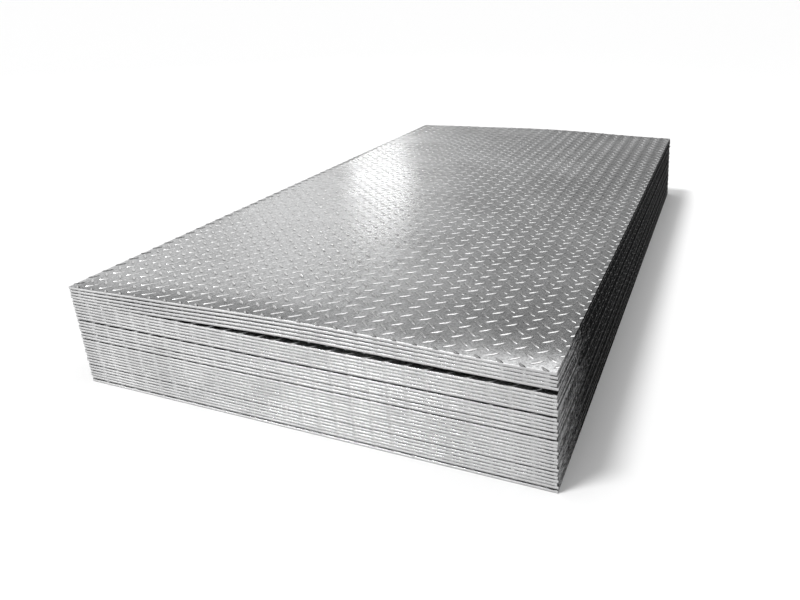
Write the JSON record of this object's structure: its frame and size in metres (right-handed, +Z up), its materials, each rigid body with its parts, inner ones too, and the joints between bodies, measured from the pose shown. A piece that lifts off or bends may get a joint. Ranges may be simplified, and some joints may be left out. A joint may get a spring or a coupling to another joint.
{
  "type": "checker steel plate stack",
  "caption": "Flat stack of full-size steel checker plates with a raised lens-shaped tread, stored and delivered as loose sheets.",
  "frame": {"origin": "centre of the lowest plate's underside", "axes": "+Z up through the stack, +Y along the plates' length to the back end, +X to the right edge"},
  "size_m": [1.2417, 2.4411, 0.2817],
  "materials": {
    "checker_steel": "bright rolled steel with a raised tread"
  },
  "bodies": {
    "root": {"plate_01": "checker_steel", "plate_02": "checker_steel", "plate_03": "checker_steel", "plate_04": "checker_steel", "plate_05": "checker_steel", "plate_06": "checker_steel", "plate_07": "checker_steel", "plate_08": "checker_steel", "plate_09": "checker_steel", "plate_10": "checker_steel", "plate_11": "checker_steel", "plate_12": "checker_steel", "plate_13": "checker_steel", "plate_14": "checker_steel", "plate_15": "checker_steel", "plate_16": "checker_steel", "plate_17": "checker_steel", "plate_18": "checker_steel", "plate_19": "checker_steel", "plate_20": "checker_steel", "plate_21": "checker_steel", "plate_22": "checker_steel", "plate_23": "checker_steel", "plate_24": "checker_steel", "plate_25": "checker_steel", "plate_26": "checker_steel", "plate_27": "checker_steel", "plate_28": "checker_steel", "plate_29": "checker_steel", "plate_30": "checker_steel", "plate_31": "checker_steel", "plate_32": "checker_steel"}
  },
  "joints": []
}
